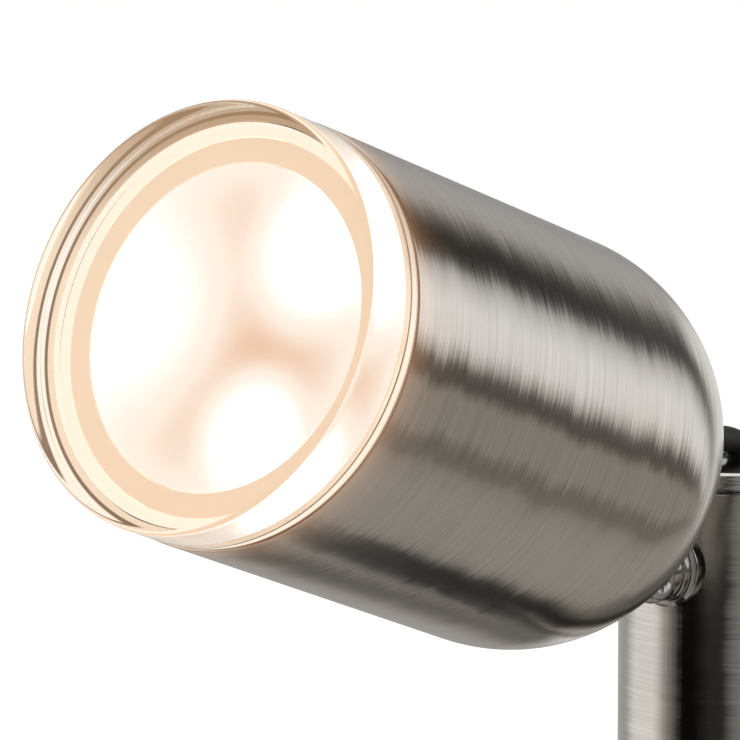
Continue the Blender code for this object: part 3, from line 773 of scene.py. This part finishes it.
# %% Seal, bezel, ring and disc
def glowing_plastic(name, colour, emission, strength):
    """Moulded plastic that glows: a chip's own light, or a painted glow standing in for the lamp's
    light coming through it.
    """
    material, shader = start_material(name, Roughness=0.4, Emission_Strength=strength)
    moulded = use_group(grain, own_position(shader, ON_HEAD), Scale=1800)
    flow = moulded["Flow"]
    feed(shader, Base_Color=blend_colours(flow, dimmed(colour, 0.93), colour),
         Emission_Color=blend_colours(flow, dimmed(emission, 0.93), emission))
    bump(shader, moulded["Grain"], FINE_BUMP, 0.3)
    return material


# The ring and the bezel are no lamps: their emission is painted glow that stands in for the lamp's
# light coming through them. The seal's emission below is painted as well.
beige = glowing_plastic("beige_ring", (0.26, 0.18, 0.12), (0.83, 0.62, 0.44), 1)
cream = glowing_plastic("cream_bezel", (0.30, 0.26, 0.21), (1.02, 0.84, 0.68), 1)
seal_rubber = glowing_plastic("seal_rubber", (0.10, 0.06, 0.04), (0.25, 0.15, 0.09), 0.9)

# The seal's emission is painted light: a thin dark bead between two painted bright edges, and a
# browner, dimmer painted glow towards the top.
SEAL_INNER_GLOW, SEAL_BEAD_GLOW, SEAL_OUTER_GLOW = (0.95, 0.75, 0.55), (0.20, 0.11, 0.06), (1.1, 0.95, 0.78)
SEAL_TOP_SHADE = (0.33, 0.18, 0.065)
shader = seal_rubber.node_tree.nodes["Principled BSDF"]
position = own_position(shader, ON_HEAD)
radius = vector_maths("LENGTH", flattened(position))
seal_glow_bands = ramp(map_range(radius, From_Min=23 * MM, From_Max=25 * MM),
              ((0, SEAL_INNER_GLOW), (0.38, SEAL_INNER_GLOW), (0.44, SEAL_BEAD_GLOW), (0.60, SEAL_BEAD_GLOW),
               (0.66, SEAL_OUTER_GLOW), (1, SEAL_OUTER_GLOW)))
top_shade_share = map_range(separate(position)["Y"], "SMOOTHSTEP",
                  From_Min=2 * MM, From_Max=22 * MM, To_Max=0.75)
feed(shader, Emission_Color=blend_colours(top_shade_share, seal_glow_bands, SEAL_TOP_SHADE))

# The disc, ring and bezel are cemented to the lens, so their faces reach just into it.
back = LENS_BACK + 0.05
low = back - 2
for name, outline, material, slot, node in (
        ("frosted_disc", rounded([(0, low), (DISC_R, low, 0.1), (DISC_R, back, 0.1),
                                  (0, back)]), frosted, "frosted", "diffuser"),
        ("clamp_ring", ring(18.75, 21.5, low, back, 0.08), beige, "beige_plastic",
         "diffuser_ring"),
        ("cream_bezel", ring(21.6, inner_r - 0.55, low, back, 0.05), cream,
         "white_plastic", "lens_bezel"),
        ("rim_seal", ring(inner_r - 0.3, head_r - 0.25, RIM + 0.1, RIM + 0.85, 0.1),
         seal_rubber, "seal", "lens_seal")):
    belongs(turned(name, outline, ON_HEAD, 128), material, "head", slot, node)
print("behind the lens: disc, clamp ring, bezel and seal")

# %% [markdown]
# ## The post
# The post is a tube brushed like the head, closed at the top by a polished cap. The cap's
# side is turned with a fine groove between two small beads, and its flat top is a mirror for
# the lead that comes out of its middle. Two set screws hold the tube on its foot.

# %% Plain metals and plastics
def polished_metal(name, place, tint=(0.80, 0.785, 0.76)):
    material, shader = start_material(name, Metallic=1)
    touched = use_group(film, own_position(shader, place), Scale=160)["Film"]
    feed(shader, Base_Color=blend_colours(touched, tint, dimmed(tint, 0.86)),
         Roughness=spread_to(touched, 0.045, 0.135))
    bump(shader, touched, FINE_BUMP, 0.15)
    return material


def plain_metal(name, tint, low, high, scale=500):
    """Unbrushed metal, such as zinc plate or brass: a mottled gloss and a faint grain."""
    material, shader = start_material(name, Metallic=1)
    position = own_position(shader)
    moulded = use_group(grain, position, Scale=scale * 6)
    touched = use_group(film, position, Scale=scale)["Film"]
    feed(shader, Base_Color=blend_colours(touched, tint, dimmed(tint, 0.75)),
         Roughness=spread_to(touched, low, high))
    bump(shader, moulded["Grain"], FINE_BUMP, 0.25)
    return material


def moulded_plastic(name, colour, low, high, texture=2600):
    """Moulded plastic or rubber: fine spark-eroded grain, flow marks and a little dust."""
    material, shader = start_material(name)
    position = own_position(shader)
    moulded = use_group(grain, position, Scale=texture)
    touched = use_group(film, position, Scale=90)
    lighter = tuple(min(1, 1.25 * c + 0.01) for c in colour)
    mixed = blend_colours(moulded["Flow"], colour, lighter)
    dusty = tuple(0.85 * c + 0.12 for c in colour)
    faint = maths("MULTIPLY", touched["Specks"], 0.25)
    feed(shader, Base_Color=blend_colours(faint, mixed, dusty),
         Roughness=spread_to(touched["Film"], low, high))
    bump(shader, moulded["Grain"], 2 * FINE_BUMP, 0.5)
    return material


polished_post = polished_metal("polished_post", ON_POST)
# The neck's darker tint is painted shade: a shaded copy of the cap's polished metal, in place of
# the dark reflections and shadow that the collar shows.
polished_neck_painted_shade = polished_metal("polished_neck_painted_shade", ON_POST, (0.56, 0.545, 0.52))
polished_head = polished_metal("polished_head", ON_HEAD)
zinc = plain_metal("zinc_plate", (0.62, 0.62, 0.63), 0.22, 0.42)
bright_brass = plain_metal("bare_brass", (0.83, 0.63, 0.28), 0.18, 0.38)
cast_aluminium = plain_metal("cast_aluminium", (0.72, 0.72, 0.73), 0.35, 0.6)
enamelled_copper = plain_metal("enamelled_copper", (0.72, 0.36, 0.20), 0.2, 0.4, 900)
black_plastic = moulded_plastic("black_plastic", (0.022, 0.022, 0.024), 0.42, 0.6)
white_plastic = moulded_plastic("white_plastic", (0.80, 0.78, 0.73), 0.32, 0.5)
black_rubber = moulded_plastic("black_rubber", (0.016, 0.016, 0.016), 0.5, 0.7, 1800)
thermal_grey = moulded_plastic("thermal_grey", (0.40, 0.42, 0.45), 0.7, 0.9)
solder_green = moulded_plastic("solder_green", (0.03, 0.17, 0.07), 0.25, 0.45)
fish_paper = moulded_plastic("insulating_paper", (0.66, 0.62, 0.50), 0.6, 0.8)
print("materials so far:", len(bpy.data.materials))

# %% Post tube, foot screws and cap
SCREW_UP = 42.2
post_r = POST_R / MM
tube_r = post_r - 1.2
tube_low, tube_high = ((corner[2] - POST_TOP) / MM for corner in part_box("post_tube"))


def screw_place(side):
    """Place of the set screw on one side of the post, pointing outwards."""
    spot = place_at((side * tube_r * MM, 0, SCREW_UP * MM))
    return spot @ Matrix.Rotation(side * math.pi / 2, 4, "Y")


tube = turned("brushed_tube", rounded([
    (tube_r, tube_low, 0.15), (post_r, tube_low, 0.3), (post_r, tube_high, 0.25),
    (tube_r, tube_high, 0.15)], steps=4), ON_POST, 128)
drill(tube, 3.4, 10, 17, ON_NECK, 40)
for number, side in enumerate((-1, 1), start=1):
    outward = screw_place(side)
    drill(tube, 1.75, -4, 4, outward, 32)
    screw = turned(f"set_screw_{number}", rounded([
        (0, -2.4), (1.5, -2.4, 0.2), (1.5, 1, 0.3), (0, 1)]), outward, 40)
    cut(screw, turned("hex_socket", [(0, -0.6), (0.75, -0.4), (0.8, 2), (0, 2)], outward, 6))
    belongs(screw, zinc, "post", "steel", f"foot_screw_{number}")
belongs(smooth(tube), nickel_post, "post", "nickel", "post_tube")

cap = turned("polished_cap", rounded([
    (2.9, -6), (tube_r - 0.3, -6, 0.3), (tube_r - 0.3, -2.25), (post_r - 0.25, -2.25, 0.1),
    (post_r, -1.95, 0.12), (post_r, -1.45, 0.12), (post_r - 0.3, -1.25, 0.06),
    (post_r - 0.3, -1.05, 0.06), (post_r, -0.85, 0.12), (post_r, -0.35, 0.2),
    (post_r - 0.45, 0, 0.25), (3.3, 0, 0.2), (2.9, -0.4)], steps=4), ON_POST, 128)
belongs(cap, polished_post, "post", "polished", "post_cap")
bush = turned("cap_bush", rounded([(1.75, -5.5, 0.1), (2.7, -5.5, 0.1), (2.7, -0.25, 0.2),
                                   (1.75, -0.25, 0.2)]), ON_POST, 48)
belongs(bush, black_rubber, "post", "rubber", "cap_grommet")
print("post: tube, two set screws, cap and bush")

# %% [markdown]
# ## The neck and the tilt joint
# A polished collar sits on the post's side, its back hollowed to fit the tube. It steps down
# to a fork. The head's knuckle stands between the fork's two cheeks, and a screw with a
# friction washer on each side holds the angle the head is set to.

# %% Neck, fork and pivot
EAR_R = 3.2
PIN_R = 1.4
BORE_R = PIN_R + 0.1
pivot_out = -PIVOT.y / MM
fork_base = pivot_out - EAR_R - 0.3
AT_PIVOT_HEIGHT = place_at((0, 0, PIVOT.z))
neck = turned("neck_fork", rounded([
    (0, 7.5), (2.9, 7.5, 0.2), (2.9, 13.4), (5, 13.4), (5, 15.8, 0.35), (4.5, 16.3, 0.15),
    (4.3, 16.3, 0.1), (4.3, 17.2, 0.3), (3.9, 17.4, 0.1), (3.9, fork_base, 0.3),
    (0, fork_base)], steps=4), ON_NECK, 80)
cut(neck, turned("saddle", [(tube_r - 1.2, -20), (post_r + 0.1, -20), (post_r + 0.1, 20),
                            (tube_r - 1.2, 20)], AT_PIVOT_HEIGHT, 128))
cut(neck, rod("stem", 2.85, 7.6, 15.6, ON_NECK, 48), "UNION")
for side in (-1, 1):
    low, high = sorted((side * 2.1, side * 3.7))
    cheek = turned("cheek", rounded([(0, low), (EAR_R, low, 0.2), (EAR_R, high, 0.3),
                                     (0, high)], steps=3), ON_PIN, 48)
    web = box("web", (low + 0.02, -pivot_out, -EAR_R + 0.02),
              (high - 0.02, -fork_base + 0.6, EAR_R - 0.02), AT_PIVOT_HEIGHT, edge=0.15)
    cut(neck, cut(cheek, web, "UNION"), "UNION")
drill(neck, BORE_R, -6, 6, ON_PIN, 32)
belongs(smooth(neck), polished_neck_painted_shade, "post", "polished", "neck")

screw = turned("tilt_screw", rounded([
    (0, -5.6), (PIN_R, -5.6, 0.2), (PIN_R, 4), (2.7, 4, 0.1), (2.7, 5, 0.5),
    (0, 5.4)]), ON_PIN, 48)
cut(screw, turned("hex_socket", [(0, 4.4), (0.95, 4.5), (1, 6), (0, 6)], ON_PIN, 6))
belongs(screw, zinc, "post", "steel", "pivot_screw")
for number, low in enumerate((-1.85, 1.45), start=1):
    washer = turned(f"friction_disc_{number}",
                    ring(PIN_R + 0.15, 3, low, low + 0.4, 0.1), ON_PIN, 48)
    belongs(washer, bright_brass, "post", "brass", f"friction_washer_{number}")

seat_r = 4.2
stud_r = 2
seat = [(r, REACH - math.sqrt((head_r + 0.05) ** 2 - r ** 2)) for r in (seat_r, 3.4, 2.7, stud_r)]
knuckle = turned("knuckle", rounded([
    (0, 3.7), (3, 3.7, 0.4), (seat_r, 4.6, 0.5), *seat, (stud_r, stud_end + 6, 0.3),
    (0, stud_end + 6)]), ON_ARM, 64)
eye = turned("eye", rounded([(0, -1.2), (EAR_R, -1.2, 0.25), (EAR_R, 1.2, 0.25), (0, 1.2)]),
             ON_PIN, 48)
cut(eye, box("tongue", (-1.18, -EAR_R + 0.02, 0), (1.18, EAR_R - 0.02, 4.4), ON_ARM, edge=0.15),
    "UNION")
cut(knuckle, eye, "UNION")
drill(knuckle, BORE_R, -3, 3, ON_PIN, 32)
belongs(smooth(knuckle), polished_head, "head", "polished", "head_knuckle")
print("neck, fork, pivot screw, two washers and knuckle")

# %% [markdown]
# ## The lead
# The lead leaves the cap's middle, bends over at once and enters the back of the dome
# through a rubber grommet. It is one flexible tube held at both ends. Its route is a short
# list of points with a smooth curve through them.

# %% Lead and grommet
LEAD_R = 1.6
dome_out = -DOME.y / MM
dome_up = (DOME.z - POST_TOP) / MM
route = [(0, -14), (0, -7), (0, -3), (0, -0.5), (0.6, 1.3), (2.5, 2.25), (5.8, 3), (10.5, 5.1)]
route += [(dome_out - reach, dome_up) for reach in (29.5, 26.5, 20)]
route.append((dome_out - 10, dome_up - 0.7))
for s in (4, 12, 30):
    route.append((dome_out + s * math.cos(HEAD_TILT), dome_up + s * math.sin(HEAD_TILT)))


def smooth_route(points, step):
    """Even points on a Catmull-Rom curve through the route's own points."""
    ends = [2 * points[0] - points[1]] + points + [2 * points[-1] - points[-2]]
    result = []
    for a, b, c, d in zip(ends, ends[1:], ends[2:], ends[3:]):
        count = max(2, round((c - b).length / step))
        for k in range(count):
            t = k / count
            result.append(0.5 * ((2 * b) + (c - a) * t + (2 * a - 5 * b + 4 * c - d) * t * t
                                 + (3 * b - a - 3 * c + d) * t ** 3))
    return result + [ends[-2]]


path = smooth_route([Vector((0, -out * MM, POST_TOP + up * MM)) for out, up in route], 0.8 * MM)
curve = bpy.data.curves.new("black_lead", "CURVE")
curve.dimensions = "3D"
curve.bevel_depth = LEAD_R * MM
curve.bevel_resolution = 8
curve.use_fill_caps = True
spline = curve.splines.new("POLY")
spline.points.add(len(path) - 1)
for knot, point in zip(spline.points, path):
    knot.co = (*point, 1)
lead = bpy.data.objects.new("black_lead", curve)
bpy.context.scene.collection.objects.link(lead)
take(lead)
bpy.ops.object.convert(target="MESH")
lead = bpy.context.object
length = sum((b - a).length for a, b in zip(path, path[1:]))
settle(lead, degrees=60)
paint(lead, black_rubber)
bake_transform(lead)
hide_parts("lead")
print("lead:", round(length / MM), "mm long in all")

grommet = turned("head_bush", rounded([
    (1.75, 21.5, 0.2), (2.85, 21.5, 0.2), (2.85, 25, 0.1), (4.3, 25, 0.25), (4.1, 26, 0.5),
    (3, 26.9, 0.4), (1.75, 26.9, 0.3)]), ON_BACK, 64)
belongs(grommet, black_rubber, "head", "rubber", "head_grommet")
print("head grommet in place")

# %% [markdown]
# ## The track adapter
# The adapter is moulded in black. Its narrow insert goes up into the track, the flange stops
# against the track's lips, and the cover on top of it houses the terminals. Every edge is
# rounded a little. Two levers turn a quarter: one swings a steel cam under the track's lips,
# the other swings the two brass contacts.

# %% Adapter housing, plate and cover
FLANGE_LOW = 20
FLANGE_TOP = 22.4
COVER_LOW = 22.7
COVER_TOP = 36
LEVER_Y = 31
SHAFT_R = 3
AT_ORIGIN = Matrix.Identity(4)
LOCK_SPOT, CARRIER_SPOT = (place_at((0, y * MM, 0)) for y in (-LEVER_Y, LEVER_Y))
SLOTS = (((-10, -41.5, 9), (10, -20.5, 13)), ((-10, 21, 5), (10, 41, 7.2)),
         ((-10, 21, 11.8), (10, 41, 14)), ((0, -4.3, 16), (10, 4.3, 17.4)))

adapter = box("adapter_flange", (-16.5, -50, FLANGE_LOW), (16.5, 50, FLANGE_TOP), edge=0.45,
              upright=4)
cut(adapter, box("insert", (-8.8, -46, 2.3), (8.8, 46, FLANGE_LOW + 0.5), edge=0.3, upright=2),
    "UNION")
cut(adapter, box("hollow", (-7, -44.2, 1), (7, 44.2, FLANGE_LOW)))
cut(adapter, box("wire_way", (-5, -10, 19), (5, 10, 24)))
for spot in (LOCK_SPOT, CARRIER_SPOT):
    drill(adapter, SHAFT_R + 0.3, 18, 24, spot, 40)
for low, high in SLOTS:
    cut(adapter, box("slot", low, high))
belongs(even_shading(adapter), black_plastic, "adapter", "black_plastic", "adapter_base")

plate = box("insert_plate_fine", (-8.8, -46, 0), (8.8, 46, 2), edge=0.3, upright=2)
for number, y in enumerate((-15, 15), start=1):
    spot = place_at((0, y * MM, 0))
    drill(plate, 1.7, -1, 3, spot, 32)
    screw = turned(f"plate_screw_fine_{number}", rounded([
        (0, 0.4), (1.35, 0.4, 0.2), (1.35, 9), (0.9, 10), (0, 10)]), spot, 32)
    cut(screw, box("driver_slot", (-0.25, -2, 0), (0.25, 2, 0.8), spot))
    belongs(screw, zinc, "adapter", "steel", f"plate_screw_{number}")
belongs(even_shading(plate), black_plastic, "adapter", "black_plastic", "insert_plate")

cover = box("cover_fine", (-15.5, -20, COVER_LOW), (15.5, 20, COVER_TOP), edge=0.9, upright=4)
cut(cover, box("cover_hollow", (-13.8, -18.3, 20), (13.8, 18.3, COVER_TOP - 1.7), upright=2.5))
drill(cover, 5.2, 30, 38, AT_ORIGIN, 64)
belongs(even_shading(cover), black_plastic, "adapter", "black_plastic", "adapter_cover")
print("adapter: base, plate with two screws, and cover")

# %% Levers, cam and contacts
KNOB_R = 6.5
KNOB_TOP = 26.2
for name, spot, body, shaft_end in (
        ("lock_lever", LOCK_SPOT, "lock_rotor", 7.5),
        ("selector_lever", CARRIER_SPOT @ Matrix.Rotation(math.pi, 4, "Z"), "selector_rotor", 3.6)):
    lever = turned(name + "_fine", rounded([
        (0, shaft_end), (SHAFT_R, shaft_end, 0.3), (SHAFT_R, COVER_LOW),
        (KNOB_R, COVER_LOW, 0.2), (KNOB_R, 25.4, 0.3), (5.7, KNOB_TOP, 0.3), (0, KNOB_TOP)]),
                   spot, 64)
    cut(lever, box("grip", (-2.6, -16, COVER_LOW + 0.01), (2.6, -3, KNOB_TOP - 0.02), spot,
                   edge=0.6), "UNION")
    for rib in range(4):
        y = -14.6 + 1.6 * rib
        cut(lever, box("rib", (-3, y, 25.7), (3, y + 0.7, 27), spot, edge=0.15))
    belongs(even_shading(lever), black_plastic, body, "black_plastic", name)

flats = (("lock_cam", "lock_rotor", "steel", zinc, LOCK_SPOT, 5, (9.5, 12.5), 0.8),
         ("contact_blade_1", "selector_rotor", "brass", bright_brass, CARRIER_SPOT, 4.5,
          (5.5, 6.7), 0.35),
         ("contact_blade_2", "selector_rotor", "brass", bright_brass, CARRIER_SPOT, 4.5,
          (12.3, 13.5), 0.35))
for node, body, slot, material, spot, half, (low, high), edge in flats:
    flat = box(node + "_fine", (-11, -half, low), (11, half, high), spot, edge=edge, upright=1.5)
    drill(flat, SHAFT_R + 0.2, low - 1, high + 1, spot, 48)
    belongs(even_shading(flat), material, body, slot, node)
print("two levers, cam and blades")

# %% [markdown]
# ## Rings, washers, nuts and the parts inside
# What is left is small or hidden. The turned ones come from one table of outlines, the nuts
# from another. The parts that can't be seen keep the frame's own shape and get a finish.

# %% Turned small parts
stop_pin_spot = place_at((0, -10.8 * MM, 0))
can_spot = place_at((-5 * MM, -0.5 * MM, 0))
coil_spot = place_at((4 * MM, 0, 66 * MM), -math.pi / 2)
under = COVER_TOP - 2
turned_parts = (
    ("neck_washer", "post", "steel", zinc, ON_NECK, ring(3.2, 5, 11.4, 12.3, 0.1)),
    ("swivel_nipple", "adapter", "steel", zinc, AT_ORIGIN,
     rounded([(3.4, under - 3), (7, under - 3, 0.3), (7, under, 0.2), (4.9, under),
              (4.9, 52, 0.4), (3.4, 52, 0.2)])),
    ("spring_washer", "adapter", "steel", zinc, AT_ORIGIN, ring(5.2, 8.8, 44.6, 45.4, 0.1)),
    ("lock_clip", "lock_rotor", "steel", zinc, LOCK_SPOT, ring(3.2, 5, 8.2, 9.1, 0.1)),
    ("contact_carrier", "selector_rotor", "white_plastic", white_plastic, CARRIER_SPOT,
     ring(3.2, 5.2, 7.1, 11.9, 0.2)),
    ("stop_pin", "post", "steel", zinc, stop_pin_spot,
     rounded([(0, 38), (0.9, 38, 0.2), (0.9, 43.4, 0.2), (0, 43.4)])),
    ("driver_sleeve", "post", "paper", fish_paper, AT_ORIGIN,
     ring(12.7, 13.2, 54, 101, 0.05)),
    ("driver_coil", "post", "copper", enamelled_copper, coil_spot,
     [(0, -6), (5.5, -6), (5.5, -5), (4.2, -4.6)]
     + [(4.2 - 0.15 * (k % 2), -4.4 + 0.3 * k) for k in range(22)]
     + [(4.2, 2.1), (5.5, 2.4), (5.5, 3.6), (0, 3.6)]),
    ("driver_capacitor", "post", "black_plastic", black_plastic, can_spot,
     rounded([(0, 76), (4, 76, 0.5), (4, 78, 0.3), (3.7, 78.4, 0.3), (4, 78.8, 0.3),
              (4, 91, 0.5), (0, 91)])),
)
for node, body, slot, material, spot, outline in turned_parts:
    belongs(turned(node + "_fine", outline, spot, 64), material, body, slot, node)

washer = turned("stop_ring", ring(5.2, 12, COVER_TOP + 0.3, 37.4, 0.15), AT_ORIGIN, 80)
cut(washer, box("stop_tab", (-1.5, 9.9, 37), (1.5, 11.7, 39.4), edge=0.2), "UNION")
belongs(washer, zinc, "adapter", "steel", "stop_washer")

foot_r = tube_r - 0.3
foot = turned("foot_fine", rounded([
    (5.2, 37.9, 0.3), (9.4, 37.9, 0.2), (9.4, 40), (12.6, 40), (12.6, 37.9, 0.2),
    (foot_r, 37.9, 0.3), (foot_r, 44.3, 0.4), (5.2, 44.3, 0.3)]), AT_ORIGIN, 80)
drill(foot, 1.2, 39, 43.6, stop_pin_spot, 24)
for side in (-1, 1):
    drill(foot, 1.75, -4, 4, screw_place(side), 32)
belongs(foot, cast_aluminium, "post", "cast", "post_foot")
print("small parts:", len(turned_parts), "turned, the stop washer and the foot")


# %% Nuts and lights
def hexagon(name, bore, across, low, high, place):
    """Nut: a six-sided bar, its corners turned off at both ends, drilled through."""
    corner = across / math.sqrt(3)
    slope = (corner - across / 2) * 0.5
    nut = rod(name, corner, low, high, place, 6)
    cut(nut, turned("turned_corners", [
        (0, low), (across / 2, low), (corner, low + slope), (corner, high - slope),
        (across / 2, high), (0, high)], place, 64), "INTERSECT")
    return smooth(drill(nut, bore, low - 1, high + 1, place, 40))


nuts = (("tilt_nut", "pivot_nut", "post", BORE_R, 5, -5.5, -4, ON_PIN),
        ("neck_nut_fine", "neck_nut", "post", 3.1, 8, 8.4, 11.1, ON_NECK),
        ("knuckle_nut_fine", "knuckle_nut", "head", 2.2, 7, stud_end + 2.4, stud_end + 5,
         ON_ARM),
        ("pan_nut_fine", "pan_nut", "adapter", 5.1, 17, 45.7, 51.2, AT_ORIGIN))
for name, node, body, bore, across, low, high, spot in nuts:
    belongs(hexagon(name, bore, across, low, high, spot), zinc, body, "steel", node)

LED_PITCH = 14 * MM
LED_TURN = math.radians(173)
chip_glow = glowing_plastic("chip_glow", (0.85, 0.70, 0.40), (1, 0.86, 0.68), 3)
chip_outline = rounded([(0, 35), (2.6, 35, 0.1), (2.6, 35.9, 0.1), (1.9, 35.9)])
chip_outline += arc(35.9, 1.9, 0, 90, 10)[1:]
for number in range(3):
    angle = LED_TURN - number * 2 * math.pi / 3
    spot = ON_HEAD @ Matrix.Translation((LED_PITCH * math.cos(angle),
                                         LED_PITCH * math.sin(angle), 0))
    chip = turned(f"chip_{number + 1}", chip_outline, spot, 40)
    belongs(chip, chip_glow, "head", "led", f"led_{number + 1}")
print(len(nuts), "nuts and three lights")

# %% Parts that keep their frame shape
kept = (("heat_sink", cast_aluminium), ("thermal_pad", thermal_grey), ("led_board", white_plastic),
        ("reflector", white_plastic), ("board_screw_1", zinc), ("board_screw_2", zinc),
        ("driver_board", solder_green), ("terminal_block", white_plastic),
        ("earth_contact", bright_brass))
for node, material in kept:
    paint(bpy.data.objects[node], material)
print("kept shapes:", len(kept))
